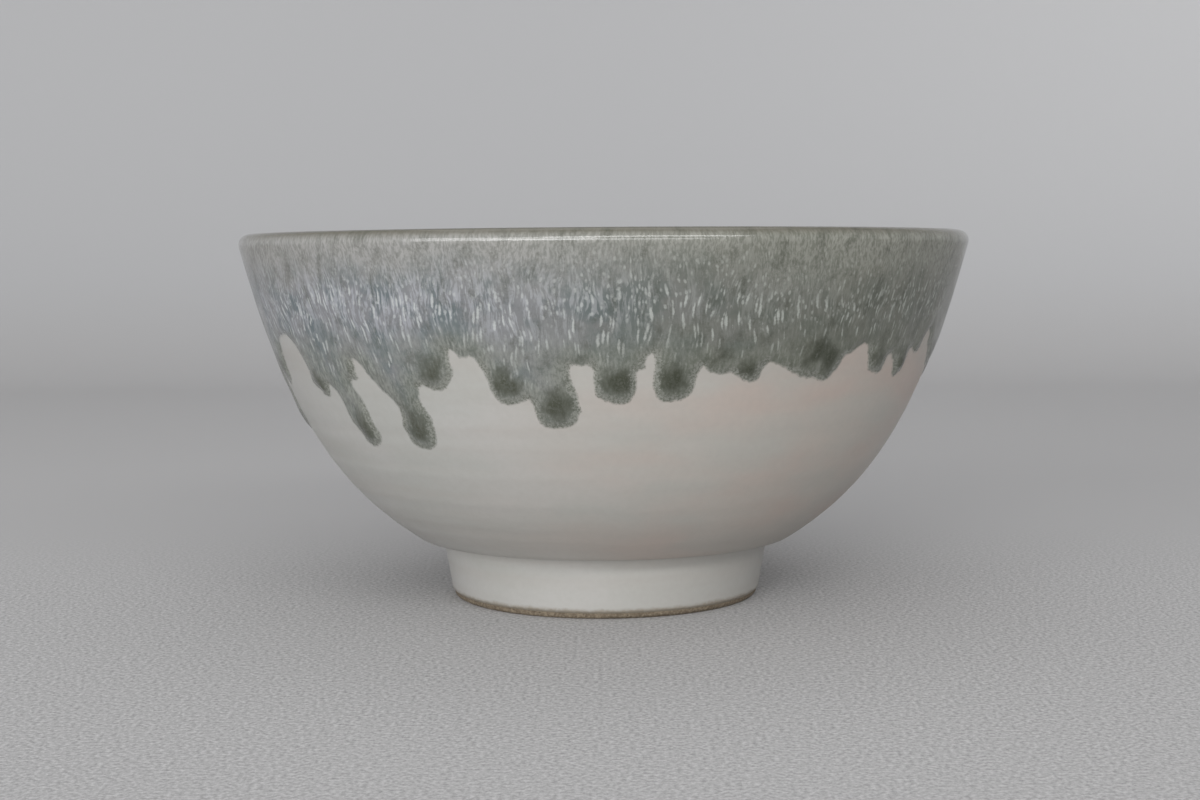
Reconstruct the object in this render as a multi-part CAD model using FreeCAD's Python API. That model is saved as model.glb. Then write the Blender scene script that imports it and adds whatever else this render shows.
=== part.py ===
"""Matcha bowl (chawan): a thrown stoneware bowl on a turned foot ring, under a white base glaze,
with an ash glaze poured over the lip that has run down the wall in tongues.

The frame is +Z up with the origin on the table at the middle of the foot. Millimetres.
The front of the bowl faces -Y, and angles round the wall are counted from there towards +X.

Every coat of glaze is a solid of its own, laid face to face on what it was poured over. All of them
follow one line, the skin: the surface of the white glaze in section, drawn from the heel up the
outside, over the lip, and down the inside to the middle of the well. A distance off the skin is
positive away from the clay.
"""

import FreeCAD, Part  # FreeCAD has to come first, or Part doesn't load

import math
import os

from FreeCAD import Vector

# Overall sizes, over the glaze
RIM_DIAMETER = 130.0
HEIGHT = 65.4

# Foot
FOOT_HEIGHT = 11.0  # table to the shelf under the wall
FOOT_LIP_DIAMETER = 55.0  # where the foot stands, measured on the clay
FOOT_TAPER = 3.6  # by how much the foot's diameter grows from the table to the shelf
FOOT_LIP_WIDTH = 5.2  # width of the bare ring that stands on the table
FOOT_LIP_ROUND = 0.6
FOOT_INNER_TAPER = 1.6  # by how much the recess narrows in diameter from the table to its ceiling
BARE_BAND = 1.0  # clay left bare above the table, outside the foot
BARE_BAND_INSIDE = 1.6

# Wall, from the heel to the lip
SHELF_WIDTH = 4.1  # level underside of the wall, from the foot out to the heel's round
HEEL_ROUND = 1.5
HEEL_RISE = 33.0  # degrees above level at which the wall leaves the heel
HEEL_FULLNESS = 0.3  # how long the wall keeps to that direction, over the chord from heel to lip
RIM_LEAN = 15.0  # degrees off vertical at which the wall reaches the lip
RIM_FULLNESS = 0.5  # how long it has held that direction, over the same chord

# Thicknesses
LIP_THICKNESS = 3.8  # over both glazes
HIP_THICKNESS = 6.0  # where the wall turns into the floor, over the white glaze
FLOOR_THICKNESS = 5.0  # clay between the well and the foot's recess
WHITE_GLAZE = 0.35
ASH_GLAZE = 0.4
SHELF_FILLET = 1.2  # glaze gathered in the corner between shelf and foot
RECESS_FILLET = 2.0

# Well
HIP_PLACE = 0.24  # where on the wall's curve the inside leaves it, from the heel (0) to the lip (1)
HIP_FULLNESS = 0.75  # how long the inside keeps to the wall's direction, over the way on to the floor's level
WELL_FLATNESS = 0.65  # how long the floor stays level, over the way from the middle to that corner

# Ash glaze: how far below the lip the poured band ends, and each tongue that has run on from it
BAND_DEPTH_OUTSIDE = 18.0
BAND_DEPTH_INSIDE = 16.0
RUN_TIP = 0.85  # depth of a tongue's round tip over half its width
# (degrees round the wall, width, drop below the band)
OUTSIDE_RUNS = [
    (-79, 6.0, 17.0),
    (-71, 6.5, 8.0),
    (-54, 7.0, 9.5),
    (-46, 5.5, 17.0),
    (-38, 4.0, 7.0),
    (-32.5, 5.5, 17.0),
    (-26.5, 5.5, 6.5),
    (-16, 8.0, 9.0),
    (-7.5, 7.0, 12.5),
    (1.5, 7.0, 9.0),
    (10.5, 6.5, 8.5),
    (21, 7.5, 6.0),
    (34.5, 12.0, 6.0),
    (48, 8.0, 5.5),
    (57, 7.5, 6.5),
    (74, 9.0, 6.0),
    (86, 7.0, 9.5),
    (97, 9.0, 6.0),
    (108, 6.0, 14.5),
    (119, 8.0, 7.0),
    (133, 7.0, 10.0),
    (146, 9.5, 6.0),
    (158, 6.5, 15.5),
    (169, 7.0, 8.0),
    (182, 8.0, 6.5),
    (193, 7.0, 11.5),
    (207, 9.0, 6.5),
    (219, 6.0, 16.0),
    (229, 7.0, 8.0),
    (243, 9.0, 6.0),
    (255, 6.5, 12.0),
    (268, 7.0, 7.5),
]
INSIDE_RUNS = [
    (-70, 7.0, 6.0),
    (-48, 6.0, 10.0),
    (-26, 7.5, 6.5),
    (-5, 6.0, 12.0),
    (17, 7.0, 7.5),
    (40, 6.5, 9.5),
    (62, 8.0, 6.0),
    (86, 6.0, 11.0),
    (109, 7.5, 7.0),
    (131, 6.5, 9.0),
    (155, 7.0, 6.5),
    (177, 6.0, 12.5),
    (200, 8.0, 7.0),
    (224, 6.5, 10.0),
    (247, 7.0, 6.0),
    (269, 6.0, 9.0),
]

# Places that follow from the sizes above
FOOT_LIP_RADIUS = FOOT_LIP_DIAMETER / 2
FOOT_INNER_RADIUS = FOOT_LIP_RADIUS - FOOT_LIP_WIDTH
HEEL_RADIUS = FOOT_LIP_RADIUS + FOOT_TAPER / 2 + SHELF_WIDTH
LIP_ROUND = LIP_THICKNESS / 2 - ASH_GLAZE  # the skin's own round at the lip
LIP_CENTRE = Vector(RIM_DIAMETER / 2 - LIP_THICKNESS / 2, 0, HEIGHT - LIP_THICKNESS / 2)
HEEL_CENTRE = Vector(HEEL_RADIUS, 0, FOOT_HEIGHT + HEEL_ROUND)
CLAY_SHELF = FOOT_HEIGHT + WHITE_GLAZE
WELL_HEIGHT = CLAY_SHELF + FLOOR_THICKNESS + WHITE_GLAZE
SAMPLES = 12  # points that carry each parallel curve
AXIS = Vector(0, 0, 1)


def at(radius, height):
    return Vector(radius, 0, height)


def direction(degrees):
    """Unit vector in the section plane, counted from outwards towards up."""
    return at(math.cos(math.radians(degrees)), math.sin(math.radians(degrees)))


def off_clay(tangent):
    """Unit vector off the clay, for a tangent that follows the skin from heel to well."""
    return at(tangent.z, -tangent.x).normalize()


def sampled(curve, n=SAMPLES):
    """Points and unit tangents along a curve."""
    first, last = curve.FirstParameter, curve.LastParameter
    places = [first + (last - first) * i / n for i in range(n + 1)]
    return [(curve.value(p), curve.tangent(p)[0]) for p in places]


def through(points, start, end):
    """A spline through the points that leaves and arrives in the given directions."""
    spline = Part.BSplineCurve()
    spline.interpolate(Points=points, InitialTangent=start, FinalTangent=end)
    return spline


def bezier(start, leaving, end, arriving):
    """A cubic that leaves and arrives along the two vectors."""
    curve = Part.BezierCurve()
    curve.setPoles([start, start + leaving, end - arriving, end])
    return curve


def outside_wall():
    start = HEEL_CENTRE + off_clay(direction(HEEL_RISE)) * HEEL_ROUND
    end = LIP_CENTRE + direction(-RIM_LEAN) * LIP_ROUND
    chord = (end - start).Length
    leaving = direction(HEEL_RISE) * (chord * HEEL_FULLNESS)
    arriving = direction(90 - RIM_LEAN) * (chord * RIM_FULLNESS)
    return bezier(start, leaving, end, arriving)


def inside_wall(outside):
    """From the lip down to the hip: the outside wall, moved in by a thickness that grows downwards."""
    points = []
    lip = 2 * LIP_ROUND
    for i in range(SAMPLES + 1):
        down = i / SAMPLES
        place = 1 - (1 - HIP_PLACE) * down
        thickness = lip + (HIP_THICKNESS - lip) * down**2
        points.append(outside.value(place) - off_clay(outside.tangent(place)[0]) * thickness)
    return through(points, direction(-90 - RIM_LEAN), (points[-1] - points[-2]).normalize())


def well(inside):
    """From the hip to the middle of the floor, inside the corner that wall and floor would make."""
    hip, heading = sampled(inside)[-1]
    reach = heading * ((WELL_HEIGHT - hip.z) / heading.z)
    corner = hip + reach
    level = at(-corner.x * WELL_FLATNESS, 0)
    return bezier(hip, reach * HIP_FULLNESS, at(0, WELL_HEIGHT), level)


OUTSIDE = outside_wall()
INSIDE = inside_wall(OUTSIDE)
WELL = well(INSIDE)


def parallel(curve, distance):
    """The curve moved off the clay by a distance, as an edge."""
    if distance == 0:
        return curve.toShape()
    samples = sampled(curve)
    points = [point + off_clay(tangent) * distance for point, tangent in samples]
    return through(points, samples[0][1], samples[-1][1]).toShape()


def round_edge(centre, radius, start, end):
    """Arc about a centre, between two angles in degrees."""
    middle = (start + end) / 2
    ends = [centre + direction(angle) * radius for angle in (start, middle, end)]
    return Part.Arc(*ends).toShape()


def outside_line(distance):
    """The skin from the shelf round the heel and up to the crest of the lip."""
    heel = round_edge(HEEL_CENTRE, HEEL_ROUND + distance, -90, HEEL_RISE - 90)
    lip = round_edge(LIP_CENTRE, LIP_ROUND + distance, -RIM_LEAN, 90)
    return [heel, parallel(OUTSIDE, distance), lip]


def inside_line(distance):
    """The skin from the crest of the lip down to the middle of the well."""
    lip = round_edge(LIP_CENTRE, LIP_ROUND + distance, 90, 180 - RIM_LEAN)
    return [lip, parallel(INSIDE, distance), parallel(WELL, distance)]


def line(start, end):
    return Part.makeLine(start, end)


def ends_of(edges):
    """First and last point of a run of edges, in the order that they were given."""
    wire = Part.Wire(edges)
    corners = [v.Point for v in wire.OrderedVertexes]
    return corners[0], corners[-1]


def turned(edges):
    """The solid swept by a closed section about the bowl's axis."""
    ordered = Part.__sortEdges__(edges)
    return Part.Face(Part.Wire(ordered)).revolve(Vector(), AXIS, 360)


def layer(edges_at, low, high):
    """The coat between two distances off the skin. edges_at gives the skin's edges at a distance."""
    under, over = edges_at(low), edges_at(high)
    joins = [line(a, b) for a, b in zip(ends_of(under), ends_of(over))]
    return turned(under + over + joins)


def filleted(corners, radii):
    """Straight edges through the corners, each inner corner rounded by its radius."""
    edges = []
    here = corners[0]
    for before, corner, after, radius in zip(corners, corners[1:], corners[2:], radii):
        back = (before - corner).normalize()
        ahead = (after - corner).normalize()
        half = back.getAngle(ahead) / 2
        if radius > 0:
            reach = radius / math.tan(half)
            centre = corner + (back + ahead).normalize() * (radius / math.sin(half))
            middle = centre + (corner - centre).normalize() * radius
            edges.append(line(here, corner + back * reach))
            edges.append(Part.Arc(corner + back * reach, middle, corner + ahead * reach).toShape())
            here = corner + ahead * reach
        else:
            edges.append(line(here, corner))
            here = corner
    edges.append(line(here, corners[-1]))
    return edges


def foot_radius(height):
    """Outside of the foot ring's clay."""
    return FOOT_LIP_RADIUS + FOOT_TAPER / 2 * height / FOOT_HEIGHT


def recess_radius(height):
    """Inside of the foot ring's clay."""
    return FOOT_INNER_RADIUS - FOOT_INNER_TAPER / 2 * height / FOOT_HEIGHT


def clay_body():
    """Thrown wall and floor. Its underside is the plane that the foot ring is luted to."""
    clay = outside_line(-WHITE_GLAZE) + inside_line(-WHITE_GLAZE)
    centre = at(0, CLAY_SHELF)
    heel = ends_of(outside_line(-WHITE_GLAZE))[0]
    middle = at(0, WELL_HEIGHT - WHITE_GLAZE)
    return turned(clay + [line(middle, centre), line(centre, heel)])


def foot_ring():
    """Turned ring of bare clay, rounded where it stands."""
    corners = [
        at(recess_radius(CLAY_SHELF), CLAY_SHELF),
        at(FOOT_INNER_RADIUS, 0),
        at(FOOT_LIP_RADIUS, 0),
        at(foot_radius(CLAY_SHELF), CLAY_SHELF),
    ]
    sides = filleted(corners, [FOOT_LIP_ROUND, FOOT_LIP_ROUND])
    return turned(sides + [line(corners[-1], corners[0])])


def outer_white_glaze():
    return layer(outside_line, -WHITE_GLAZE, 0)


def inner_white_glaze():
    """From the crest of the lip to the middle of the well."""
    lip, _ = ends_of(inside_line(0))
    clay_lip, _ = ends_of(inside_line(-WHITE_GLAZE))
    middle, clay_middle = at(0, WELL_HEIGHT), at(0, WELL_HEIGHT - WHITE_GLAZE)
    joins = [line(lip, clay_lip), line(middle, clay_middle)]
    return turned(inside_line(0) + inside_line(-WHITE_GLAZE) + joins)


def foot_white_glaze():
    """Under the shelf and down the outside of the foot, ending above the table."""
    clay = [
        at(HEEL_RADIUS, CLAY_SHELF),
        at(foot_radius(CLAY_SHELF), CLAY_SHELF),
        at(foot_radius(BARE_BAND), BARE_BAND),
    ]
    glaze = [
        at(foot_radius(BARE_BAND) + WHITE_GLAZE, BARE_BAND + WHITE_GLAZE),
        at(foot_radius(FOOT_HEIGHT) + WHITE_GLAZE, FOOT_HEIGHT),
        at(HEEL_RADIUS, FOOT_HEIGHT),
    ]
    edges = filleted(clay, [0]) + [line(clay[-1], glaze[0])]
    edges += filleted(glaze, [SHELF_FILLET]) + [line(glaze[-1], clay[0])]
    return turned(edges)


def recess_white_glaze():
    """Ceiling and side of the recess under the foot."""
    clay = [
        at(0, CLAY_SHELF),
        at(recess_radius(CLAY_SHELF), CLAY_SHELF),
        at(recess_radius(BARE_BAND_INSIDE), BARE_BAND_INSIDE),
    ]
    glaze = [
        at(recess_radius(BARE_BAND_INSIDE) - WHITE_GLAZE, BARE_BAND_INSIDE + WHITE_GLAZE),
        at(recess_radius(FOOT_HEIGHT) - WHITE_GLAZE, FOOT_HEIGHT),
        at(0, FOOT_HEIGHT),
    ]
    edges = filleted(clay, [0]) + [line(clay[-1], glaze[0])]
    edges += filleted(glaze, [RECESS_FILLET]) + [line(glaze[-1], clay[0])]
    return turned(edges)


OUTSIDE_BAND = HEIGHT - BAND_DEPTH_OUTSIDE
INSIDE_BAND = HEIGHT - BAND_DEPTH_INSIDE


def above(height):
    """Everything from a height up to above the lip."""
    return Part.makeCylinder(RIM_DIAMETER, HEIGHT, at(0, height), AXIS)


def ash_glaze_rim():
    """The poured band: outside, over the lip, and inside."""
    outside = layer(outside_line, 0, ASH_GLAZE).common(above(OUTSIDE_BAND))
    inside = layer(inside_line, 0, ASH_GLAZE).common(above(INSIDE_BAND))
    return outside.fuse(inside).removeSplitter()


def run_prism(angle, width, drop, band):
    """A tongue with a round tip that hangs from the band, drawn straight out through the wall."""
    half = width / 2
    tip = Vector(0, 0, band - drop)
    left, right = (tip + Vector(side, 0, half * RUN_TIP) for side in (-half, half))
    outline = [
        line(Vector(-half, 0, band), left),
        Part.Arc(left, tip, right).toShape(),
        line(right, Vector(half, 0, band)),
        line(Vector(half, 0, band), Vector(-half, 0, band)),
    ]
    prism = Part.Face(Part.Wire(outline)).extrude(Vector(0, -RIM_DIAMETER, 0))
    prism.translate(Vector(0, -RIM_DIAMETER / 4, 0))
    prism.rotate(Vector(), AXIS, angle)
    return prism


def ash_runs(edges_at, runs, band):
    """The tongues of a band, each as thick as the coat. Tongues that meet are one solid."""
    prisms = [run_prism(*run, band) for run in runs]
    tongues = prisms[0].multiFuse(prisms[1:])
    return layer(edges_at, 0, ASH_GLAZE).common(tongues)


NODES = {
    "clay_body": clay_body,
    "foot_ring": foot_ring,
    "outer_white_glaze": outer_white_glaze,
    "inner_white_glaze": inner_white_glaze,
    "foot_white_glaze": foot_white_glaze,
    "recess_white_glaze": recess_white_glaze,
    "ash_glaze_rim": ash_glaze_rim,
    "outer_ash_runs": lambda: ash_runs(outside_line, OUTSIDE_RUNS, OUTSIDE_BAND),
    "inner_ash_runs": lambda: ash_runs(inside_line, INSIDE_RUNS, INSIDE_BAND),
}

os.makedirs("parts", exist_ok=True)
for name, make in NODES.items():
    shape = make()
    solids = shape.Solids
    if not solids or not all(s.isValid() and s.isClosed() and s.Volume > 0 for s in solids):
        raise RuntimeError(f"{name} isn't made of closed solids")
    shape = solids[0] if len(solids) == 1 else Part.Compound(solids)
    shape.exportStep(f"parts/{name}.step")
    box = shape.BoundBox
    print(f"{name}: {len(solids)} solids, {shape.Volume / 1000:.2f} cm3, z {box.ZMin:.2f} to {box.ZMax:.2f}")
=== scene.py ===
"""Looks of the matcha bowl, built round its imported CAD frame.

Lengths are in millimetres until a mesh is made, and angles round the wall are counted in degrees from
the front, -Y, towards +X. Every coat follows the skin, the surface of the white glaze in section: a
place on it is an angle and a way, the length along the skin from the crest of the lip, counted down
the outside and, as a negative length, down the inside. In the code theta is the angle in radians.
"""

import math
import random

import bpy
import numpy as np
from mathutils import Euler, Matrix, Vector, kdtree


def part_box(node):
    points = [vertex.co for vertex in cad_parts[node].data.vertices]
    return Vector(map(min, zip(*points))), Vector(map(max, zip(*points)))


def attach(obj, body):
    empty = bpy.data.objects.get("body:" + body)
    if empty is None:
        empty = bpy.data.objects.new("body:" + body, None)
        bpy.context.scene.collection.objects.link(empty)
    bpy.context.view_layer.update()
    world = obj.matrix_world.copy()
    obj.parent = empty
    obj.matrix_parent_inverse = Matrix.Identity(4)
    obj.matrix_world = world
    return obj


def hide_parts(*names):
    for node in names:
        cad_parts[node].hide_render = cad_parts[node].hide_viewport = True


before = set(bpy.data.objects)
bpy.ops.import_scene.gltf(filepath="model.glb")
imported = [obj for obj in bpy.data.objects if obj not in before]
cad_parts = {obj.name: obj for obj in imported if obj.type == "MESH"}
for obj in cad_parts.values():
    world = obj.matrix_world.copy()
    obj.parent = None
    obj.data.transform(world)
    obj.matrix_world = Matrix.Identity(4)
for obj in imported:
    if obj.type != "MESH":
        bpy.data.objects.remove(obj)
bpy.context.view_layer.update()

MM = 0.001


def box_mm(node):
    return [[x / MM for x in corner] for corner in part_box(node)]


# Sizes read from the frame
(_, (RIM_RADIUS, _, HEIGHT)) = box_mm("ash_glaze_rim")
((_, _, SHELF_HEIGHT), (_, _, WHITE_TOP)) = box_mm("outer_white_glaze")
((_, _, CLAY_SHELF), (_, _, CLAY_TOP)) = box_mm("clay_body")
((_, _, BARE_BAND), (HEEL_RADIUS, _, _)) = box_mm("foot_white_glaze")
((_, _, BARE_BAND_INSIDE), (RECESS_RADIUS, _, _)) = box_mm("recess_white_glaze")
((_, _, CLAY_WELL), _) = box_mm("inner_white_glaze")
(_, (FOOT_TOP_RADIUS, _, _)) = box_mm("foot_ring")
((_, _, OUTSIDE_TIP), (_, _, OUTSIDE_BAND)) = box_mm("outer_ash_runs")
((_, _, INSIDE_TIP), (_, _, INSIDE_BAND)) = box_mm("inner_ash_runs")
WHITE = WHITE_TOP - CLAY_TOP
ASH = HEIGHT - WHITE_TOP
WELL_HEIGHT = CLAY_WELL + WHITE

# Shape of the section, as in the CAD model
LIP_THICKNESS = 3.8  # over both glazes
HEEL_ROUND = 1.5
HEEL_RISE = 33.0  # degrees above level at which the wall leaves the heel
HEEL_FULLNESS = 0.3  # how long the wall keeps to that direction, over the chord from heel to lip
RIM_LEAN = 15.0  # degrees off vertical at which the wall reaches the lip
RIM_FULLNESS = 0.5  # how long it has held that direction, over the same chord
HIP_THICKNESS = 6.0  # where the wall turns into the floor, over the white glaze
HIP_PLACE = 0.24  # where on the wall's curve the inside leaves it, from the heel (0) to the lip (1)
HIP_FULLNESS = 0.75  # how long the inside keeps to the wall's direction, over the way to the floor's level
WELL_FLATNESS = 0.65  # how long the floor stays level, over the way from the middle to that corner
FOOT_TAPER = 3.6  # by how much the foot's diameter grows from the table to the shelf
FOOT_INNER_TAPER = 1.6  # by how much the recess narrows in diameter from the table to its ceiling
SHELF_FILLET = 1.2  # glaze gathered in the corner between shelf and foot
RECESS_FILLET = 2.0
BARE_EDGE_ROUND = 0.3  # of the glaze where it stops above the bare clay

# Tongues of ash glaze over the front, each a row of stations from its root to its tip:
# (angle, height, half its width)
FRONT_TONGUES = [
    [(-79, 47.0, 6.0), (-80, 38.0, 3.2), (-80, 33.2, 2.8)],
    [(-71, 47.5, 5.0), (-71.5, 42.4, 3.1)],
    [(-53.5, 47.5, 5.4), (-54.2, 42.0, 3.0), (-53.8, 40.0, 1.9)],
    [(-49.5, 46.5, 5.0), (-47.0, 40.0, 2.5), (-45.8, 36.0, 3.0), (-44.9, 32.8, 2.5)],
    [(-44.6, 45.8, 2.6), (-43.4, 42.6, 1.2)],
    [(-42.0, 47.0, 2.0), (-41.3, 46.2, 1.2)],
    [(-36.4, 46.5, 4.9), (-34.6, 42.4, 4.2), (-33.0, 38.0, 2.6), (-32.6, 35.0, 3.1), (-32.2, 33.2, 2.7)],
    [(-27.7, 46.8, 4.2), (-27.0, 44.0, 3.5), (-26.8, 43.2, 2.8)],
    [(-21.4, 48.0, 1.6), (-21.3, 46.9, 1.1)],
    [(-15.5, 48.0, 4.8), (-14.8, 44.5, 3.7), (-14.8, 41.4, 3.1)],
    [(-9.5, 47.5, 4.6), (-8.2, 43.0, 3.2), (-7.3, 38.0, 3.55)],
    [(-4.0, 47.5, 3.0), (-3.2, 46.6, 2.0)],
    [(1.4, 47.2, 3.9), (1.5, 43.6, 3.2), (1.8, 41.6, 3.2)],
    [(5.2, 46.6, 0.7), (5.4, 44.4, 0.5)],
    [(10.9, 47.2, 4.0), (10.2, 43.7, 3.2), (10.1, 42.0, 3.2)],
    [(16.0, 47.6, 4.2), (17.2, 45.6, 2.6)],
    [(22.0, 47.2, 4.4), (22.0, 43.6, 2.2)],
    [(28.0, 48.0, 4.2), (30.0, 46.8, 3.6), (33.2, 45.0, 3.4)],
    [(35.0, 48.4, 5.6), (35.9, 44.6, 3.3)],
    [(47.5, 49.2, 4.6), (48.2, 44.4, 2.6)],
    [(54.5, 48.5, 5.2), (55.8, 44.0, 2.5), (56.0, 42.9, 2.0)],
    [(61.0, 48.6, 3.6), (60.8, 47.4, 2.9)],
    [(71.0, 48.5, 4.8), (73.5, 44.6, 3.0)],
    [(77.5, 48.0, 3.8), (78.0, 46.4, 3.0)],
]
# Tongues of the unseen back and of the inside: (angle, width, how far it hangs below the band). They
# are lobes up to one drop, bulbs up to the next, and long runs beyond.
LONGEST_LOBE, LONGEST_BULB = 8.5, 13
BACK_TONGUES = [
    (86, 7.0, 9.5), (97, 9.0, 6.0), (108, 6.0, 14.5), (119, 8.0, 7.0), (133, 7.0, 10.0), (146, 9.5, 6.0),
    (158, 6.5, 15.5), (169, 7.0, 8.0), (182, 8.0, 6.5), (193, 7.0, 11.5), (207, 9.0, 6.5), (219, 6.0, 16.0),
    (229, 7.0, 8.0), (243, 9.0, 6.0), (255, 6.5, 12.0), (268, 7.0, 7.5),
]
INSIDE_TONGUES = [
    (-70, 8.0, 6.0), (-48, 6.5, 10.0), (-26, 8.5, 6.5), (-5, 6.5, 12.0), (17, 8.0, 7.5), (40, 7.0, 9.5),
    (62, 9.0, 6.0), (86, 6.5, 11.0), (109, 8.0, 7.0), (131, 7.0, 9.0), (155, 8.0, 6.5), (177, 6.5, 12.5),
    (200, 9.0, 7.0), (224, 7.0, 10.0), (247, 8.0, 6.0), (269, 6.5, 9.0),
]

# The ash glaze's mesh
ASH_EDGE = 2.2  # how far in from its outline the coat has its whole thickness
ASH_OUTLINE_SUNK = 0.02  # how far the outline lies under the white glaze's surface
ASH_UNDERSIDE = 0.6  # how deep the coat's underside lies in the white glaze, as a share of that glaze
LIP_WAYS = 12.0  # so far from the crest the coat is never thicker than in the CAD model
OUTLINE_SHIFT = 0.35  # by how much the whole outline is moved out
BAND_WAVE = 0.7  # how much the band's edge rises and falls
OUTLINE_WAVE, OUTLINE_GRAIN = 0.2, 0.08  # how uneven the outline is, broadly and finely
TONGUE_BLEND = 0.7  # over how much depth a tongue melts into what it hangs from
NEAREST_CUT = 0.08  # the outline cuts a cell's side no nearer to its end, as a share of the side
FLOW_RADIUS = RIM_RADIUS - 5  # of the cylinder that the material's flow coordinates are rolled on

# Fineness of the meshes
FINE = 2400  # points along the skin
COLUMNS = 640  # round the ash glaze
LATHE_COLUMNS = 320  # round the plain coats
FACE_SPACING = 0.5
BACK_SPACING = 2.0

# Camera, degrees and the lens's millimetres
CAMERA_PLACE = (-0.8, -325.0, 60.5)
CAMERA_PITCH = 4.485
CAMERA_ROLL = 0.4
CAMERA_LENS = 53.5
SENSOR_WIDTH = 36.0

# Stage
FLOOR_FRONT = -3000.0
FLOOR_HALF_WIDTH = 3000.0
BACKDROP_START = 520.0
BACKDROP_ROUND = 450.0
BACKDROP_TOP = 1600.0
BACKDROP_HALF_WIDTH = 1100.0

# Softboxes: name, place, target, size, watts, spread in degrees
BOWL_MIDDLE = (0, 0, 35)
LIGHTS = [
    ("panel", (260, -1150, 660), BOWL_MIDDLE, (1400, 200), 6.0, 180),
    ("window", (-950, -1600, 430), BOWL_MIDDLE, (1900, 800), 21.5, 180),
    ("low", (-50, -1500, 160), BOWL_MIDDLE, (1900, 260), 6.0, 180),
    ("over", (-100, -750, 1050), BOWL_MIDDLE, (1400, 900), 1.2, 180),
    ("top", (0, 420, 1100), (0, 250, 0), (900, 700), 1.2, 180),
    ("wash", (450, 420, 1050), (750, 970, 400), (500, 500), 0.9, 90),
]
SKY_COLOUR = (0.97, 0.98, 1.0, 1.0)
SKY_STRENGTH = 0.5


# ---- The skin -------------------------------------------------------------------------------------


def direction(degrees):
    return np.array([math.cos(math.radians(degrees)), math.sin(math.radians(degrees))])


def arc(centre, radius, start, end, n=24):
    return np.array([centre + radius * direction(start + (end - start) * i / n) for i in range(n + 1)])


def bezier(start, leaving, end, arriving, n=200):
    t = np.linspace(0, 1, n + 1)[:, None]
    a, b = start + leaving, end - arriving
    return (1 - t) ** 3 * start + 3 * (1 - t) ** 2 * t * a + 3 * (1 - t) * t**2 * b + t**3 * end


def off_clay(points):
    """Unit normals of a line that runs from the heel over the lip to the well, away from the clay."""
    along = np.gradient(points, axis=0)
    normals = np.stack([along[:, 1], -along[:, 0]], 1)
    return normals / np.linalg.norm(normals, axis=1)[:, None]


def along_line(points, n=None, spacing=None):
    """The line again at equal steps."""
    steps = np.linalg.norm(np.diff(points, axis=0), axis=1)
    length = np.concatenate([[0], np.cumsum(steps)])
    n = n or max(2, int(length[-1] / spacing))
    places = np.linspace(0, length[-1], n + 1)
    return np.stack([np.interp(places, length, points[:, k]) for k in (0, 1)], 1)


def make_skin():
    """The skin's points, normals and ways, from the bottom of the heel to the middle of the well."""
    lip_centre = np.array([RIM_RADIUS - LIP_THICKNESS / 2, HEIGHT - LIP_THICKNESS / 2])
    lip_round = LIP_THICKNESS / 2 - ASH
    heel_centre = np.array([HEEL_RADIUS, SHELF_HEIGHT + HEEL_ROUND])
    heel = arc(heel_centre, HEEL_ROUND, -90, HEEL_RISE - 90)
    lip = arc(lip_centre, lip_round, -RIM_LEAN, 180 - RIM_LEAN, 60)
    chord = np.linalg.norm(lip[0] - heel[-1])
    leaving = direction(HEEL_RISE) * chord * HEEL_FULLNESS
    arriving = direction(90 - RIM_LEAN) * chord * RIM_FULLNESS
    outside = bezier(heel[-1], leaving, lip[0], arriving)
    down = np.linspace(0, 1, 200)
    places = (1 - (1 - HIP_PLACE) * down) * (len(outside) - 1)
    wall = np.stack([np.interp(places, range(len(outside)), outside[:, k]) for k in (0, 1)], 1)
    normals = off_clay(outside)
    wall_normals = np.stack([np.interp(places, range(len(outside)), normals[:, k]) for k in (0, 1)], 1)
    thickness = 2 * lip_round + (HIP_THICKNESS - 2 * lip_round) * down**2
    inside = wall - wall_normals * thickness[:, None]
    hip, heading = inside[-1], inside[-1] - inside[-2]
    reach = heading * (WELL_HEIGHT - hip[1]) / heading[1]
    level = np.array([-(hip + reach)[0] * WELL_FLATNESS, 0])
    well = bezier(hip, reach * HIP_FULLNESS, np.array([0, WELL_HEIGHT]), level)
    points = along_line(np.concatenate([heel, outside[1:], lip[1:], inside[1:], well[1:]]), FINE)
    crest = int(np.argmax(points[:, 1]))
    step = np.linalg.norm(points[1] - points[0])
    ways = (crest - np.arange(len(points))) * step
    return points, off_clay(points), ways


SKIN, SKIN_NORMALS, SKIN_WAYS = make_skin()
HEEL_WAY, WELL_WAY = SKIN_WAYS[0], SKIN_WAYS[-1]


def skin_at(way):
    """Radius, height and the normal's two parts at each way."""
    order = slice(None, None, -1)
    columns = (SKIN[:, 0], SKIN[:, 1], SKIN_NORMALS[:, 0], SKIN_NORMALS[:, 1])
    return [np.interp(way, SKIN_WAYS[order], column[order]) for column in columns]


def way_at_height(height, outside=True):
    side = SKIN_WAYS > 0 if outside else SKIN_WAYS < 0
    heights, ways = SKIN[side, 1], SKIN_WAYS[side]
    order = np.argsort(heights)
    return float(np.interp(height, heights[order], ways[order]))


# ---- Unevenness -----------------------------------------------------------------------------------


def ripple(seed, waves, per_turn, per_mm):
    """A smooth random function of angle (radians) and way, about -1 to 1, that closes round the bowl."""
    source = random.Random(seed)
    terms = []
    for _ in range(waves):
        turns = source.randint(*per_turn)
        along = source.uniform(-per_mm, per_mm)
        terms.append((turns, along, source.uniform(0, 2 * math.pi)))
    size = 1 / math.sqrt(waves / 2)

    def value(theta, way):
        return size * sum(np.cos(k * theta + m * way + phase) for k, m, phase in terms)

    return value


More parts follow.
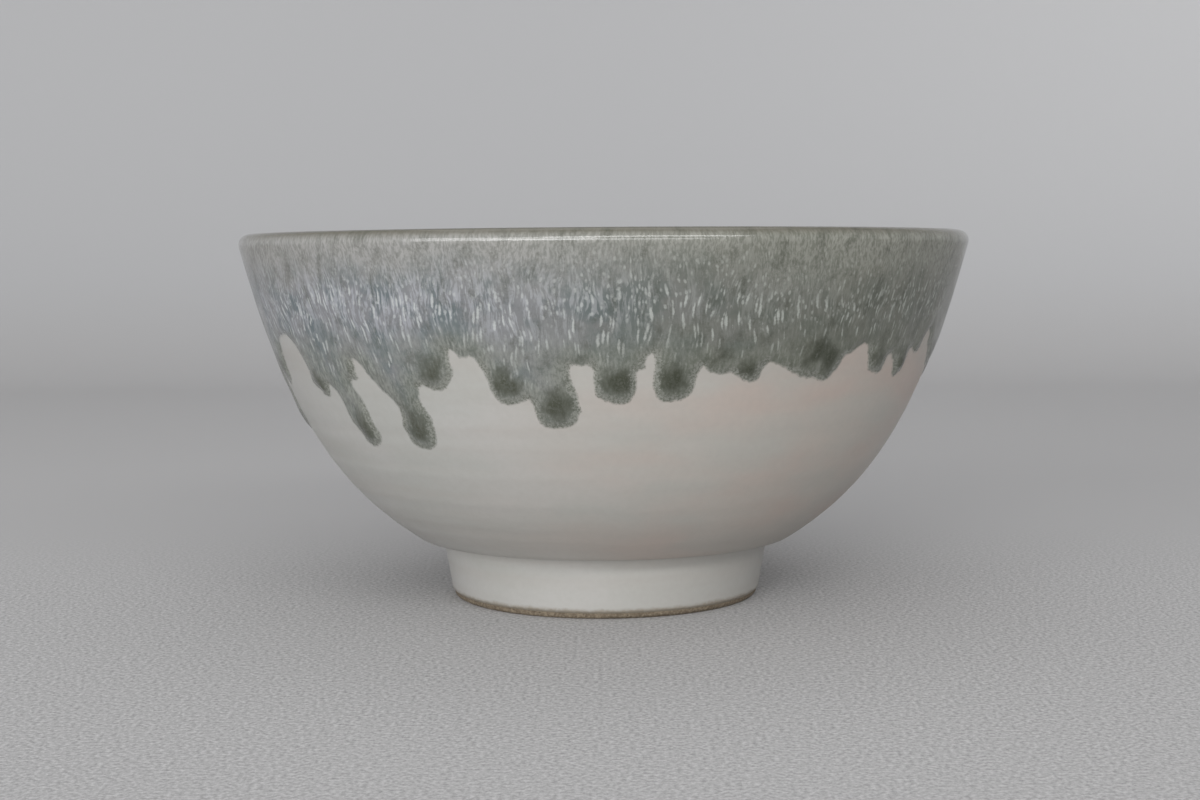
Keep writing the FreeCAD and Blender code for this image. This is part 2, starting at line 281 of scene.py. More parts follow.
RING_HEIGHT = 0.012
RING_SPACING, FINER_SPACING = 5.3, 3.1
RINGS_START, RINGS_FULL = 20, 35  # ways from the crest between which the rings fade in
RING_FADING = ripple(3, 5, (1, 3), 0.08)
BAND_EDGE = ripple(11, 9, (6, 26), 0.0)
OUTLINE_WANDER = ripple(12, 14, (20, 90), 0.9)
OUTLINE_FUZZ = ripple(13, 24, (150, 420), 3.2)
THICKNESS_WANDER = ripple(14, 8, (5, 40), 0.5)


def throwing_rings(theta, way):
    """Height of the rings that the thrower's fingers left, in millimetres off the skin."""
    spiral = way + 0.5 * theta / math.pi
    finer = np.sin(spiral * 2 * math.pi / FINER_SPACING + 1.7)
    rings = np.sin(spiral * 2 * math.pi / RING_SPACING) + 0.6 * finer
    fade = np.clip((np.abs(way) - RINGS_START) / (RINGS_FULL - RINGS_START), 0, 1)
    return RING_HEIGHT * rings * fade * (1 + 0.5 * RING_FADING(theta, way))


# ---- Meshes ---------------------------------------------------------------------------------------


def make_object(name, vertices, faces, attributes=None, sharp_angle=40):
    """A smooth-shaded mesh from points in millimetres. attributes: name to one number or vector a point."""
    mesh = bpy.data.meshes.new(name)
    mesh.from_pydata([tuple(v) for v in np.asarray(vertices) * MM], [], faces)
    for key, values in (attributes or {}).items():
        values = np.asarray(values, np.float32)
        kind, field = ("FLOAT", "value") if values.ndim == 1 else ("FLOAT_VECTOR", "vector")
        mesh.attributes.new(key, kind, "POINT").data.foreach_set(field, values.ravel())
    mesh.polygons.foreach_set("use_smooth", [True] * len(mesh.polygons))
    mesh.set_sharp_from_angle(angle=math.radians(sharp_angle))
    mesh.update()
    piece = bpy.data.objects.new(name, mesh)
    bpy.context.scene.collection.objects.link(piece)
    return piece


def around(theta, radius):
    return radius * np.sin(theta), -radius * np.cos(theta)


def lathe(name, section, relief=None):
    """Turns a section, a closed line of (radius, height) that runs with the solid on its left.

    Where the section starts and ends on the axis it closes there. relief(theta, i) says how far the
    section's point i is moved off the surface, along the section's normal.
    """
    section = np.asarray(section, float)
    columns = LATHE_COLUMNS
    on_axis = section[:, 0] < 1e-6
    closes_on_axis = bool(on_axis[0] and on_axis[-1])
    ring = section if closes_on_axis else np.concatenate([section, section[:1]])
    along = np.gradient(ring, axis=0)
    normals = np.stack([along[:, 1], -along[:, 0]], 1)
    normals /= np.maximum(np.linalg.norm(normals, axis=1), 1e-9)[:, None]
    theta = np.arange(columns) * 2 * math.pi / columns
    vertices, index = [], []
    for i, (point, normal) in enumerate(zip(section, normals)):
        if on_axis[i]:
            index.append([len(vertices)] * columns)
            vertices.append((0, 0, point[1]))
            continue
        lift = relief(theta, i) if relief else np.zeros(columns)
        x, y = around(theta, point[0] + normal[0] * lift)
        z = point[1] + normal[1] * lift
        index.append(list(range(len(vertices), len(vertices) + columns)))
        vertices += list(zip(x, y, z))
    faces = []
    pairs = list(zip(index, index[1:])) + ([] if closes_on_axis else [(index[-1], index[0])])
    for low, high in pairs:
        for j in range(columns):
            k = (j + 1) % columns
            corners = [low[j], low[k], high[k], high[j]]
            face = [c for n, c in enumerate(corners) if c != corners[n - 1]]
            if len(face) > 2:
                faces.append(face)
    return make_object(name, vertices, faces)


def skin_line(start, end, offset, spacing):
    """Points off the skin between two ways."""
    n = max(2, int(abs(end - start) / spacing))
    way = np.linspace(start, end, n + 1)
    radius, height, out, up = skin_at(way)
    return np.stack([np.maximum(radius + out * offset, 0), height + up * offset], 1), way


def coat(name, start, end):
    """A coat of white glaze with throwing rings, between two ways, counted from the outside inwards."""
    face, ways = skin_line(start, end, 0, FACE_SPACING)
    back, _ = skin_line(end, start, -WHITE, BACK_SPACING)
    section = np.concatenate([face, back])
    order = list(range(len(section)))
    if end == WELL_WAY:
        # This coat ends on the axis, and its section has to start and end there.
        section[len(face) - 1 : len(face) + 1, 0] = 0
        order = order[len(face) :] + order[: len(face)]

    def rings(theta, i):
        inner_point = 0 < order[i] < len(face) - 1
        return throwing_rings(theta, ways[order[i]]) if inner_point else np.zeros(len(theta))

    return lathe(name, section[order], rings)


# ---- Ash glaze ------------------------------------------------------------------------------------


def smooth_max(a, b, blend):
    h = np.clip(0.5 + 0.5 * (a - b) / blend, 0, 1)
    return b + (a - b) * h + blend * h * (1 - h)


def turn_from(theta, angle):
    """How far theta is round from angle, -pi to pi."""
    return (theta - angle + math.pi) % (2 * math.pi) - math.pi


def tongue(angle, width, drop, band, source):
    """Stations of one tongue that ends drop below the band, as a lobe, a bulb or a long run."""
    lean = source.uniform(-1.5, 1.5)

    def station(share_of_lean, height, share_of_width):
        return (angle + lean * share_of_lean, height, width * share_of_width)

    if drop < LONGEST_LOBE:
        return [station(1, band + 0.3, 0.62), station(0, band - drop + width * 0.43, 0.43)]
    if drop < LONGEST_BULB:
        neck = station(0.4, band - drop * 0.42, 0.42)
        return [station(1, band, 0.7), neck, station(0, band - drop + width / 2, 0.5)]
    neck = station(1, band - drop * 0.42, 0.33)
    swell = station(0.3, band - drop * 0.72, 0.45)
    return [station(2, band, 0.85), neck, swell, station(0, band - drop + width * 0.4, 0.4)]


def tongue_depth(theta, way, stations, sign):
    """How deep each place lies inside a tongue, how far it is pooled and how near the end, 0 to 1."""
    points = []
    for angle, height, half in stations:
        station_way = way_at_height(height, sign > 0)
        radius = float(skin_at(station_way)[0])
        points.append((math.radians(angle), abs(station_way), half, radius))
    depth = np.full(theta.shape, -50.0)
    down = np.abs(way)
    for (angle_a, down_a, half_a, radius_a), (angle_b, down_b, half_b, radius_b) in zip(points, points[1:]):
        radius = (radius_a + radius_b) / 2
        across = turn_from(theta, angle_a) * radius
        run, fall = (angle_b - angle_a) * radius, down_b - down_a
        share = np.clip((across * run + (down - down_a) * fall) / (run**2 + fall**2), 0, 1)
        away = np.hypot(across - share * run, down - down_a - share * fall)
        depth = np.maximum(depth, half_a + (half_b - half_a) * share - away)
    angle, end, half, radius = points[-1]
    across = turn_from(theta, angle) * radius
    # The core is round below its middle, and drawn out up the tongue the more stations it has.
    below = down - end + 0.25 * half
    core = np.hypot(across / (1.05 * half), below / np.where(below > 0, 0.95 * half, 1.4 * len(stations)))
    tip = np.hypot(across / half, (down - end) / np.where(down > end, half, 1.5 * half))
    # Tongues that hardly leave the band have neither.
    band_way = way_at_height(OUTSIDE_BAND if sign > 0 else INSIDE_BAND, sign > 0)
    reach = np.clip((end + half - abs(band_way) - 3.5) / 3, 0, 1)
    return depth, reach * np.clip(1 - core, 0, 1), reach * np.clip((1.9 - tip) / 0.7, 0, 1)


def all_tongues():
    """(stations, 1 outside or -1 inside) for every tongue."""
    source = random.Random(21)
    tongues = [(stations, 1) for stations in FRONT_TONGUES]
    tongues += [(tongue(*row, OUTSIDE_BAND, source), 1) for row in BACK_TONGUES]
    tongues += [(tongue(*row, INSIDE_BAND, source), -1) for row in INSIDE_TONGUES]
    return tongues


def ash_depth(theta, way):
    """Signed depth inside the outline of the ash glaze, pooling and nearness to a tongue's end."""
    outside_edge = way_at_height(OUTSIDE_BAND) + BAND_WAVE * BAND_EDGE(theta, 0) - way
    inside_edge = way - way_at_height(INSIDE_BAND, False) + BAND_WAVE * BAND_EDGE(theta, 1)
    depth = np.minimum(outside_edge, inside_edge)
    pool, tip = np.zeros(theta.shape), np.zeros(theta.shape)
    for stations, sign in all_tongues():
        turn = turn_from(theta, math.radians(stations[-1][0]))
        near = (np.abs(turn) < 0.3) & (way * sign > 5)
        inside, core, end = tongue_depth(theta[near], way[near], stations, sign)
        depth[near] = smooth_max(depth[near], inside, TONGUE_BLEND)
        pool[near] = np.maximum(pool[near], core)
        tip[near] = np.maximum(tip[near], end)
    uneven = OUTLINE_WAVE * OUTLINE_WANDER(theta, way) + OUTLINE_GRAIN * OUTLINE_FUZZ(theta, way)
    return depth + OUTLINE_SHIFT + uneven, pool, tip


def ash_rows():
    """Ways of the grid's rows: close together over the lip and where the tongues end."""
    outside_band = way_at_height(OUTSIDE_BAND) - 2.5
    inside_band = way_at_height(INSIDE_BAND, False) + 2.5
    outside_end = way_at_height(OUTSIDE_TIP) + 1.5
    inside_end = way_at_height(INSIDE_TIP, False) - 1.5
    stretches = [
        (inside_end, inside_band, 0.55),
        (inside_band, -4.0, 1.3),
        (-4.0, 4.0, 0.35),
        (4.0, outside_band, 1.2),
        (outside_band, outside_end, 0.5),
    ]
    rows = []
    for start, end, spacing in stretches:
        n = round((end - start) / spacing)
        rows += list(np.linspace(start, end, n, endpoint=False))
    return np.array(rows + [outside_end])


def outline_cells(depth):
    """Cuts a grid, closed across its columns, along depth 0.

    Returns the kept places as (row, column) fractions, how many of them are grid points, the faces over
    them, and the pairs of places along the outline.
    """
    columns = depth.shape[1]
    inside = depth > 0
    number = -np.ones(depth.shape, int)
    kept = np.argwhere(inside)
    number[inside] = np.arange(len(kept))
    places = [tuple(p) for p in kept.astype(float)]
    crossings = {}

    def crossing(a, b):
        key = (a, b) if a < b else (b, a)
        if key not in crossings:
            (i, j), (k, m) = key
            share = depth[i, j % columns] / (depth[i, j % columns] - depth[k, m % columns])
            share = min(max(share, NEAREST_CUT), 1 - NEAREST_CUT)
            crossings[key] = len(places)
            places.append((i + (k - i) * share, j + (m - j) * share))
        return crossings[key]

    next_column = np.roll(np.arange(columns), -1)
    corners = [inside[:-1], inside[1:], inside[1:][:, next_column], inside[:-1][:, next_column]]
    count = sum(c.astype(int) for c in corners)
    faces = []
    for i, j in np.argwhere(count == 4):
        k = (j + 1) % columns
        faces.append((number[i, j], number[i + 1, j], number[i + 1, k], number[i, k]))
    outline = []
    for i, j in np.argwhere((count > 0) & (count < 4)):
        ring = [(i, j), (i + 1, j), (i + 1, j + 1), (i, j + 1)]
        face, cuts = [], []
        for a, b in zip(ring, ring[1:] + ring[:1]):
            is_in, next_in = (inside[r, c % columns] for r, c in (a, b))
            if is_in:
                face.append(number[a[0], a[1] % columns])
            if is_in != next_in:
                # A crossing on the closing column is named from the first column, as its neighbour does.
                turn = columns if a[1] >= columns and b[1] >= columns else 0
                point = crossing((a[0], a[1] - turn), (b[0], b[1] - turn))
                face.append(point)
                cuts.append((point, is_in))
        faces.append(tuple(face))
        for (p, leaving), (q, _) in zip(cuts, cuts[1:] + cuts[:1]):
            if leaving:
                outline.append((p, q))
    return np.array(places), len(kept), faces, outline


def make_ash_glaze():
    """The ash glaze over the lip with all its tongues, as one closed coat with a rounded edge."""
    rows = ash_rows()
    theta = np.arange(COLUMNS) * 2 * math.pi / COLUMNS
    grid_way, grid_theta = np.meshgrid(rows, theta, indexing="ij")
    depth = ash_depth(grid_theta, grid_way)[0]
    places, on_grid, faces, outline = outline_cells(depth)
    way = np.interp(places[:, 0], np.arange(len(rows)), rows)
    theta = places[:, 1] * 2 * math.pi / COLUMNS
    _, pool, tip = ash_depth(theta, way)
    radius, height, out, up = skin_at(way)

    edge_points = kdtree.KDTree(len(places) - on_grid)
    x, y = around(theta, radius)
    flat = np.stack([x, y, height], 1)
    for n, point in enumerate(flat[on_grid:]):
        edge_points.insert(point, n)
    edge_points.balance()
    edge = np.array([edge_points.find(point)[2] for point in flat])

    # The coat thins out to nothing at its outline, which lies just under the white glaze's surface.
    thinning = np.clip(edge / ASH_EDGE, 0, 1)
    bulge = thinning**2 * (3 - 2 * thinning)
    off_lip = np.clip((np.abs(way) - 4) / 6, 0, 1)
    thick = ASH * (0.97 + 0.45 * pool + 0.12 * off_lip * THICKNESS_WANDER(theta, way))
    thick = np.where(np.abs(way) < LIP_WAYS, np.minimum(thick, ASH), thick)
    lift = throwing_rings(theta, way) + thick * bulge - ASH_OUTLINE_SUNK

    def lifted(amount):
        x, y = around(theta, radius + out * amount)
        return np.stack([x, y, height + up * amount], 1)

    total = len(places)
    vertices = np.concatenate([lifted(lift), lifted(np.full(total, -ASH_UNDERSIDE * WHITE))])
    under = [tuple(total + v for v in reversed(face)) for face in faces]
    sides = [(q, p, p + total, q + total) for p, q in outline]
    x, y = around(theta, FLOW_RADIUS)
    flow = np.stack([x, y, way], 1)
    attributes = {"flow": flow, "edge": edge, "pool": pool, "tip": tip, "way": way}
    attributes = {key: np.concatenate([values, values]) for key, values in attributes.items()}
    return make_object("ash_glaze", vertices, faces + under + sides, attributes, sharp_angle=60)


# ---- Materials ------------------------------------------------------------------------------------


ALBEDO = 1.06  # how much lighter a surface is than it looks under the scene's light
WALL_WARMTH = 0.9  # how much pink breaks through the white glaze
FOOT_WARMTH = 0.1


def seen(red, green, blue, gain=ALBEDO):
    """The colour of a surface that looks like this in 0 to 255, made linear."""
    return tuple(gain * (c / 255) ** 2.2 for c in (red, green, blue)) + (1.0,)


class Graph:
    """A material whose nodes are added one call at a time. Sockets or plain numbers go in alike."""

    def __init__(self, name):
        self.material = bpy.data.materials.new(name)
        self.material.use_nodes = True
        self.tree = self.material.node_tree
        self.tree.nodes.clear()
        self.shader = self.tree.nodes.new("ShaderNodeBsdfPrincipled")
        output = self.tree.nodes.new("ShaderNodeOutputMaterial")
        self.tree.links.new(self.shader.outputs[0], output.inputs[0])

    def put(self, socket, value):
        if isinstance(value, bpy.types.NodeSocket):
            self.tree.links.new(value, socket)
        else:
            socket.default_value = value

    def add(self, kind, inputs, **settings):
        node = self.tree.nodes.new(kind)
        for key, value in settings.items():
            setattr(node, key, value)
        for key, value in inputs.items():
            self.put(node.inputs[key], value)
        return node

    def finish(self, **inputs):
        for key, value in inputs.items():
            self.put(self.shader.inputs[key.replace("_", " ")], value)
        return self.material

    def attribute(self, name, output="Fac"):
        return self.add("ShaderNodeAttribute", {}, attribute_name=name).outputs[output]

    def place(self):
        """The place on the piece, in millimetres."""
        return self.scaled(self.add("ShaderNodeTexCoord", {}).outputs["Object"], (1 / MM, 1 / MM, 1 / MM))

    def parts(self, vector):
        return self.add("ShaderNodeSeparateXYZ", {0: vector}).outputs

    def math(self, operation, a, b=0.0):
        return self.add("ShaderNodeMath", {0: a, 1: b}, operation=operation).outputs[0]

    def times(self, first, *others):
        for other in others:
            first = self.math("MULTIPLY", first, other)
        return first

    def swayed(self, value, noise, amount):
        """The value moved up and down by a noise of 0 to 1."""
        return self.math("ADD", value, self.times(self.math("SUBTRACT", noise, 0.5), amount))

    def scaled(self, vector, factors):
        node = self.add("ShaderNodeVectorMath", {0: vector, 1: factors}, operation="MULTIPLY")
        return node.outputs[0]

    def shifted(self, vector, offset):
        return self.add("ShaderNodeVectorMath", {0: vector, 1: offset}, operation="ADD").outputs[0]

    def texture(self, kind, place, scale, **inputs):
        """scale is waves or cells to the millimetre, one number or one for each axis."""
        if isinstance(scale, tuple):
            place, scale = self.scaled(place, scale), 1.0
        return self.add(kind, {"Vector": place, "Scale": scale, **inputs}).outputs

    def noise(self, place, scale, detail=2.0, roughness=0.5, output="Fac"):
        return self.texture("ShaderNodeTexNoise", place, scale, Detail=detail, Roughness=roughness)[output]

    def cells(self, place, scale):
        """The distance from the middle of a cell, and a random number for each cell."""
        outputs = self.texture("ShaderNodeTexVoronoi", place, scale)
        return outputs["Distance"], self.parts(outputs["Color"])[0]

    def step(self, value, low, high, to_low=0.0, to_high=1.0):
        """Smoothly from to_low to to_high as value goes from low to high, which may run backwards."""
        inputs = {"Value": value, "From Min": low, "From Max": high, "To Min": to_low, "To Max": to_high}
        if low > high:
            inputs.update({"From Min": high, "From Max": low, "To Min": to_high, "To Max": to_low})
        return self.add("ShaderNodeMapRange", inputs, interpolation_type="SMOOTHSTEP").outputs[0]

    def mix(self, factor, a, b):
        node = self.add("ShaderNodeMix", {}, data_type="RGBA", clamp_factor=True)
        for socket, value in zip((node.inputs[0], node.inputs[6], node.inputs[7]), (factor, a, b)):
            self.put(socket, value)
        return node.outputs[2]

    def cover(self, colour, over, *masks):
        return self.mix(self.times(*masks), colour, over)

    def bump(self, height, distance, strength):
        inputs = {"Height": height, "Distance": distance, "Strength": strength}
        return self.add("ShaderNodeBump", inputs).outputs[0]


def white_colour(g, warmth):
    """The white glaze over its brown clay, and the clouds and the fine grain in it."""
    place = g.place()
    cloud = g.noise(place, (0.045, 0.045, 0.09), 4.0, 0.55)
    x, _, z = g.parts(place)
    right = g.times(g.step(g.math("ADD", x, g.times(z, -0.4)), -45.0, 30.0), warmth)
    tint = g.mix(right, seen(161, 160, 157), seen(160, 153, 145))
    colour = g.mix(g.step(cloud, 0.35, 0.65, 0.0, 0.5), tint, seen(151, 152, 147))
    bands = g.noise(place, (0.012, 0.012, 0.35), 3.0)
    colour = g.mix(g.step(bands, 0.4, 0.7, 0.0, 0.3), colour, seen(152, 146, 140))
    blush = g.noise(place, (0.04, 0.04, 0.11), 3.0)
    colour = g.cover(colour, seen(162, 148, 140), g.step(blush, 0.36, 0.7), right)
    fine = g.noise(place, 0.9, 3.0, 0.6)
    colour = g.mix(g.step(fine, 0.3, 0.75, 0.0, 0.15), colour, seen(140, 137, 131))
    # Near the foot's edge the glaze is thin and the clay shows.
    low = g.swayed(z, fine, 1.2)
    colour = g.mix(g.step(low, 2.1, 1.1, 0.0, 0.85), colour, seen(118, 109, 95))
    return colour, cloud, fine


def ash_ground(g, flow, right):
    """Slate and lilac patches on the left and in the middle, greener and darker on the right."""
    mottle = g.noise(flow, (0.16, 0.16, 0.17), 4.0, 0.6)
    slate = g.mix(right, seen(94, 102, 105), seen(84, 87, 80))
    lilac = g.mix(right, seen(117, 118, 121), seen(93, 94, 87))
    return g.mix(g.step(mottle, 0.40, 0.62), lilac, slate)


def ash_fur(g, colour, leaning, right, level):
    """Fine pale streaks drawn out down the wall. Returns the colour and the streaks."""
    thin = g.noise(leaning, (2.7, 2.7, 0.42), 2.0, 0.6)
    broad = g.noise(leaning, (1.1, 1.1, 0.17), 2.0, 0.5)
    fur = g.step(g.math("ADD", g.times(thin, 0.6), g.times(broad, 0.4)), 0.46, 0.58)
    pale = g.mix(right, seen(152, 154, 159), seen(114, 116, 109))
    zone = g.step(level, 21.0, 12.0, 0.1, 1.0)
    return g.cover(colour, pale, fur, zone, g.step(right, 0.0, 1.0, 0.7, 0.5)), fur


def ash_dashes(g, colour, place, scale, right, level, zone, strength):
    """Pale dashes in stretched cells, between the levels of zone: none, full, none again, full till."""
    distance, chosen = g.cells(place, scale)
    away = g.swayed(distance, g.noise(place, 2.0, 2.0, 0.6), 0.5)
    dash = g.times(g.step(away, 0.48, 0.18), g.step(chosen, 0.42, 0.62))
    start, full, end, full_till = zone
    here = g.times(g.step(level, start, full), g.step(level, end, full_till))
    tone = g.mix(right, seen(168, 171, 171), seen(146, 149, 143))
    return g.cover(colour, tone, dash, here, strength)


def ash_lip(g, colour, grain, right, level, down):
    """Fine cream grain near the lip, and a brown line where the glaze is thin over its crest."""
    cream = g.mix(right, seen(143, 142, 139), seen(137, 137, 129))
    dull = g.mix(right, seen(121, 121, 117), seen(111, 112, 103))
    grained = g.mix(g.step(grain, 0.38, 0.62), dull, cream)
    colour = g.mix(g.step(level, 12.5, 0.5), colour, grained)
    return g.cover(colour, seen(90, 87, 76), g.step(down, 2.2, 0.8), 0.9)


def ash_olive(g, colour, flow, right, level, edge, uneven):
    """Towards its edge the coat turns olive."""
    near = g.swayed(edge, uneven, 3.5)
    grain = g.noise(flow, (2.2, 2.2, 1.0), 3.0, 0.65)
    deep = g.mix(right, seen(98, 101, 93), seen(90, 93, 83))
    olive = g.mix(right, seen(127, 129, 122), seen(108, 110, 102))
    olive = g.mix(g.step(grain, 0.35, 0.65), deep, olive)
    return g.cover(colour, olive, g.step(near, 7.0, 1.5, 0.0, 0.8), g.step(level, 13.0, 21.0))


def ash_cores(g, colour, right, ragged_edge, speckle, uneven):
    """The coat is darkest in the ends of the tongues."""
    ragged = g.swayed(g.swayed(g.attribute("pool"), speckle, 0.9), uneven, 1.6)
    dark = g.times(g.step(ragged, -0.1, 0.8), g.step(ragged_edge, 0.5, 1.6))
    darkest = g.mix(right, seen(67, 69, 59), seen(50, 53, 42))
    return g.cover(colour, darkest, dark, g.step(speckle, 0.62, 0.4, 0.75, 1.0))


def ash_crystals(g, colour, flow, edge, ragged_edge, speckle):
    """A mid-grey ring sown with dark and pale specks, which breaks up over the white glaze."""
    end = g.step(g.attribute("tip"), 0.1, 0.6)
    grey = g.mix(g.step(speckle, 0.4, 0.62), seen(128, 129, 123), seen(92, 94, 85))
    colour = g.cover(colour, grey, g.step(ragged_edge, 1.8, 0.8), end, 0.75)
    white = white_colour(g, WALL_WARMTH)[0]
    colour = g.mix(g.step(g.swayed(edge, speckle, 0.6), 0.7, 0.15), colour, white)
    distance, chosen = g.cells(flow, (2.8, 2.8, 2.8))
    dots = g.step(distance, 0.36, 0.18)
    zone = g.times(g.step(edge, 1.8, 0.9), g.step(edge, 0.1, 0.35), end)
    colour = g.cover(colour, seen(74, 76, 66), dots, g.step(chosen, 0.5, 0.55), zone, 0.5)
    return g.cover(colour, seen(160, 160, 153), dots, g.step(chosen, 0.2, 0.15), zone, 0.4)


def ash_glaze_material():
    """Reads the mesh's flow, way, edge, pool and tip. right and level are the place, with a sway."""
    g = Graph("ash_glaze")
    flow, edge = g.attribute("flow", "Vector"), g.attribute("edge")
    down = g.math("ABSOLUTE", g.attribute("way"))
    wander = g.noise(flow, (0.05, 0.05, 0.12), 3.0)
    level = g.swayed(down, wander, 12.0)
    right = g.step(g.swayed(g.parts(flow)[0], wander, 40.0), -35.0, 38.0)
    warp = g.noise(flow, (0.12, 0.12, 0.09), 2.0, output="Color")
    warp = g.scaled(g.shifted(warp, (-0.5, -0.5, -0.5)), (4.0, 4.0, 0.0))
    leaning = g.shifted(flow, warp)
    grain = g.noise(leaning, (3.0, 3.0, 1.1), 2.0, 0.6)
    uneven = g.noise(flow, (0.45, 0.45, 0.3), 3.0)
    speckle = g.noise(flow, (2.6, 2.6, 2.6), 2.0, 0.75)
    ragged_edge = g.swayed(g.swayed(edge, speckle, 1.6), uneven, 2.0)

    colour, fur = ash_fur(g, ash_ground(g, flow, right), leaning, right, level)
    # The dashes are long low down, and short like dots higher up.
    colour = ash_dashes(g, colour, leaning, (1.7, 1.7, 0.3), right, level, (7.0, 12.0, 27.0, 21.0), 0.9)
    colour = ash_dashes(g, colour, leaning, (1.7, 1.7, 0.9), right, level, (3.0, 6.0, 18.0, 13.0), 0.6)
    colour = ash_lip(g, colour, grain, right, level, down)
    colour = ash_olive(g, colour, flow, right, level, edge, uneven)
    colour = ash_cores(g, colour, right, ragged_edge, speckle, uneven)
    colour = ash_crystals(g, colour, flow, edge, ragged_edge, speckle)

    normal = g.bump(g.math("ADD", fur, g.times(grain, 0.5)), 0.015 * MM, 0.5)
    roughness = g.math("MAXIMUM", g.step(edge, 1.5, 0.2, 0.0, 0.36), g.step(down, 3.0, 7.0, 0.08, 0.16))
    return g.finish(Base_Color=colour, Roughness=roughness, Normal=normal, IOR=1.5)


def white_glaze_material(name, warmth):
    g = Graph(name)
    colour, cloud, fine = white_colour(g, warmth)
    peel = g.noise(g.place(), 0.4)
    normal = g.bump(g.math("ADD", peel, g.times(fine, 0.15)), 0.05 * MM, 0.4)
    roughness = g.step(cloud, 0.3, 0.7, 0.34, 0.44)
    return g.finish(Base_Color=colour, Roughness=roughness, Normal=normal, IOR=1.5)


def clay_material():
    """Brown clay with dark grit."""
    g = Graph("clay")
    place = g.place()
    sand = g.noise(place, 2.2, 4.0, 0.65)
    colour = g.mix(g.step(sand, 0.35, 0.7), seen(86, 76, 63), seen(122, 111, 95))
    grit = g.step(g.cells(place, 1.1)[0], 0.22, 0.12)
    colour = g.cover(colour, seen(62, 54, 46), grit, 0.6)
    normal = g.bump(g.math("SUBTRACT", sand, g.times(grit, 0.4)), 0.12 * MM, 0.8)
    return g.finish(Base_Color=colour, Roughness=0.85, Normal=normal)


def stage_material():
    """Pale cloth whose weave shows near the bowl and fades out behind it and in front."""
    g = Graph("stage")
    place = g.place()
    _, y, z = g.parts(place)
    near = g.times(g.step(y, 90.0, -10.0), g.step(y, -220.0, -60.0, 0.5, 1.0))
    weave = g.noise(place, 1.5, 3.0, 0.7)
    grain = g.times(g.math("SUBTRACT", weave, 0.5), near)
    colour = g.mix(g.step(grain, -0.25, 0.25), seen(142, 141, 141, 1.0), seen(202, 201, 201, 1.0))
    colour = g.mix(g.step(z, 0.0, 60.0), colour, seen(177, 177, 178, 1.0))
    return g.finish(Base_Color=colour, Roughness=0.95, Normal=g.bump(grain, 0.25 * MM, 0.5))


# ---- Pieces ---------------------------------------------------------------------------------------


def fit(piece, material, slot, *nodes):
    piece.data.materials.append(material)
    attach(piece, "root")
    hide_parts(*nodes)


def foot_outside(height):
    """Radius of the foot's clay outside."""
    return FOOT_TOP_RADIUS - FOOT_TAPER / 2 * (CLAY_SHELF - height) / SHELF_HEIGHT


def foot_inside(height):
    return RECESS_RADIUS + FOOT_INNER_TAPER / 2 * (BARE_BAND_INSIDE - height) / SHELF_HEIGHT


def rounded(corners, radii, n=12):
    """A line through the corners, each inner one rounded by its radius."""
    points = [np.array(corners[0], float)]
    for before, corner, after, radius in zip(corners, corners[1:], corners[2:], radii):
        before, corner, after = (np.array(p, float) for p in (before, corner, after))
        back = (before - corner) / np.linalg.norm(before - corner)
        ahead = (after - corner) / np.linalg.norm(after - corner)
        reach = radius / math.tan(math.acos(float(back @ ahead)) / 2)
        start, end = corner + back * reach, corner + ahead * reach
        t = np.linspace(0, 1, n + 1)[:, None]
        weight = math.sin(math.acos(float(back @ ahead)) / 2)
        # A rational quadratic through the corner's two tangent points is the circle's arc.
        bottom = (1 - t) ** 2 + 2 * t * (1 - t) * weight + t**2
        points += list(((1 - t) ** 2 * start + 2 * t * (1 - t) * weight * corner + t**2 * end) / bottom)
    points.append(np.array(corners[-1], float))
    return np.array(points)


def foot_glaze():
    """Down from the heel's underside, round the corner and down the foot to the bare clay."""
    corners = [
        (HEEL_RADIUS, SHELF_HEIGHT),
        (foot_outside(SHELF_HEIGHT) + WHITE, SHELF_HEIGHT),
        (foot_outside(BARE_BAND) + WHITE, BARE_BAND + WHITE),
        (foot_outside(BARE_BAND), BARE_BAND),
        (foot_outside(CLAY_SHELF), CLAY_SHELF),
        (HEEL_RADIUS, CLAY_SHELF),
    ]
    face = along_line(rounded(corners[:4], [SHELF_FILLET, BARE_EDGE_ROUND]), spacing=0.25)
    section = np.concatenate([face, corners[4:]])
    return lathe("foot_white_glaze", section[::-1])


def recess_glaze():
    corners = [
        (0, SHELF_HEIGHT),
        (foot_inside(SHELF_HEIGHT) - WHITE, SHELF_HEIGHT),
        (foot_inside(BARE_BAND_INSIDE) - WHITE, BARE_BAND_INSIDE + WHITE),
        (foot_inside(BARE_BAND_INSIDE), BARE_BAND_INSIDE),
        (foot_inside(CLAY_SHELF), CLAY_SHELF),
        (0, CLAY_SHELF),
    ]
    face = along_line(rounded(corners[:4], [RECESS_FILLET, BARE_EDGE_ROUND]), spacing=0.4)
    section = np.concatenate([face, corners[4:]])
    return lathe("recess_white_glaze", section)


def build_bowl():
    white = white_glaze_material("white_glaze", WALL_WARMTH)
    foot_white = white_glaze_material("white_glaze_foot", FOOT_WARMTH)
    ash = ash_glaze_material()
    clay = clay_material()
    fit(make_ash_glaze(), ash, "ash_glaze", "ash_glaze_rim", "outer_ash_runs", "inner_ash_runs")
    fit(coat("outer_white_glaze_coat", HEEL_WAY, 0), white, "white_glaze", "outer_white_glaze")
    fit(coat("inner_white_glaze_coat", 0, WELL_WAY), white, "white_glaze", "inner_white_glaze")
    fit(foot_glaze(), foot_white, "white_glaze", "foot_white_glaze")
    fit(recess_glaze(), foot_white, "white_glaze", "recess_white_glaze")
    for name in ("clay_body", "foot_ring"):
        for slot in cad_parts[name].material_slots:
            slot.material = clay


# ---- Stage, camera and light ----------------------------------------------------------------------


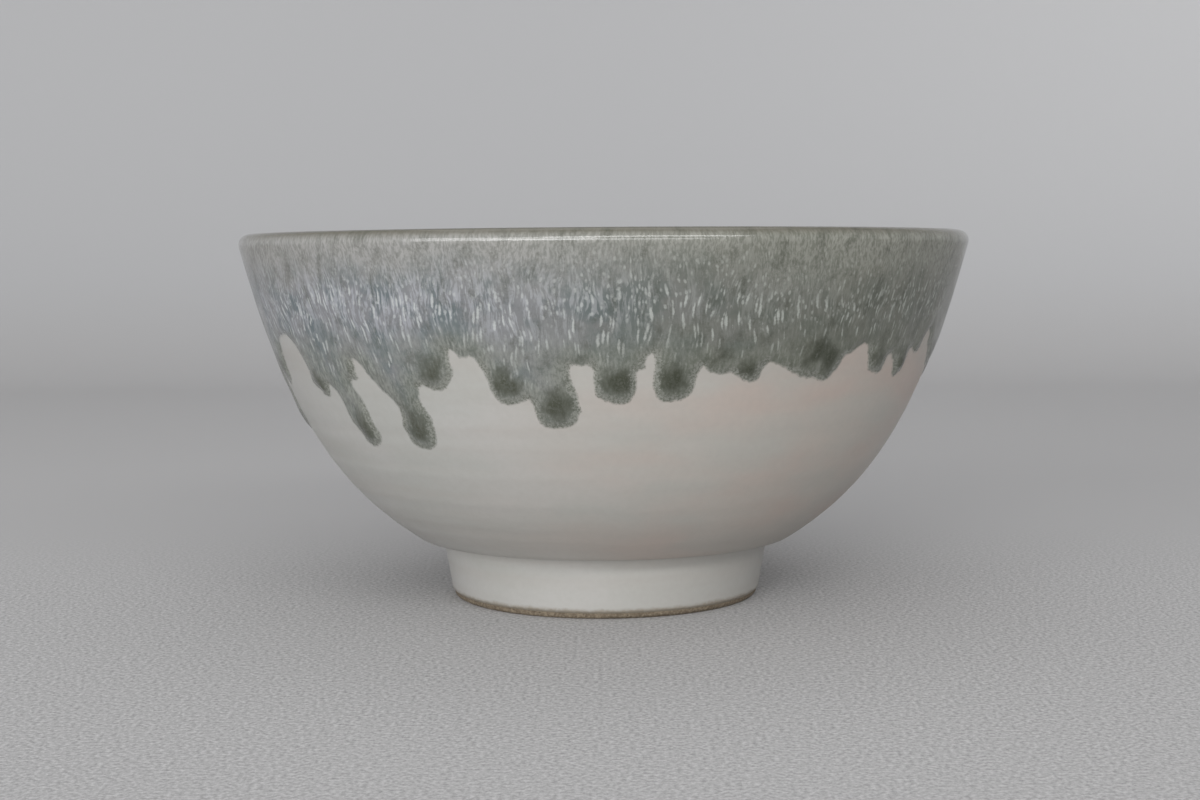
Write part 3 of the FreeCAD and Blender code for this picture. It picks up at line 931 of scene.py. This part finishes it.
def build_stage():
    """A pale floor that curves up into a narrower backdrop well behind the bowl."""
    round_middle = np.array([BACKDROP_START, BACKDROP_ROUND])
    curve = [(BACKDROP_HALF_WIDTH, y, z) for y, z in arc(round_middle, BACKDROP_ROUND, -90, 0, 40)]
    floor = [(FLOOR_HALF_WIDTH, FLOOR_FRONT, 0.0), (FLOOR_HALF_WIDTH, BACKDROP_START - 1, 0.0)]
    top = (BACKDROP_HALF_WIDTH, BACKDROP_START + BACKDROP_ROUND, BACKDROP_TOP)
    profile = floor + curve + [top]
    vertices = [(side * reach, y, z) for reach, y, z in profile for side in (-1, 1)]
    faces = [(2 * i, 2 * i + 1, 2 * i + 3, 2 * i + 2) for i in range(len(profile) - 1)]
    sheet = make_object("sweep", vertices, faces)
    sheet.data.materials.append(stage_material())


def build_camera():
    data = bpy.data.cameras.new("camera")
    data.lens = CAMERA_LENS
    data.sensor_width = SENSOR_WIDTH
    data.clip_start = 10 * MM
    camera = bpy.data.objects.new("camera", data)
    camera.location = Vector(CAMERA_PLACE) * MM
    aim = Euler((math.radians(90 - CAMERA_PITCH), 0, 0)).to_matrix()
    roll = Euler((0, 0, math.radians(-CAMERA_ROLL))).to_matrix()
    camera.rotation_euler = (aim @ roll).to_euler()
    bpy.context.scene.collection.objects.link(camera)
    bpy.context.scene.camera = camera


def area_light(name, place, target, size, watts, spread):
    data = bpy.data.lights.new(name, "AREA")
    data.shape = "RECTANGLE"
    data.size, data.size_y = (s * MM for s in size)
    data.energy = watts
    data.spread = math.radians(spread)
    lamp = bpy.data.objects.new(name, data)
    lamp.location = Vector(place) * MM
    lamp.rotation_euler = (Vector(target) - Vector(place)).to_track_quat("-Z", "Y").to_euler()
    bpy.context.scene.collection.objects.link(lamp)


def build_light():
    for light in LIGHTS:
        area_light(*light)
    world = bpy.data.worlds.new("world")
    world.use_nodes = True
    sky = world.node_tree.nodes["Background"].inputs
    sky["Color"].default_value = SKY_COLOUR
    sky["Strength"].default_value = SKY_STRENGTH
    bpy.context.scene.world = world
    bpy.context.scene.view_settings.view_transform = "Standard"


build_bowl()
build_stage()
build_camera()
build_light()
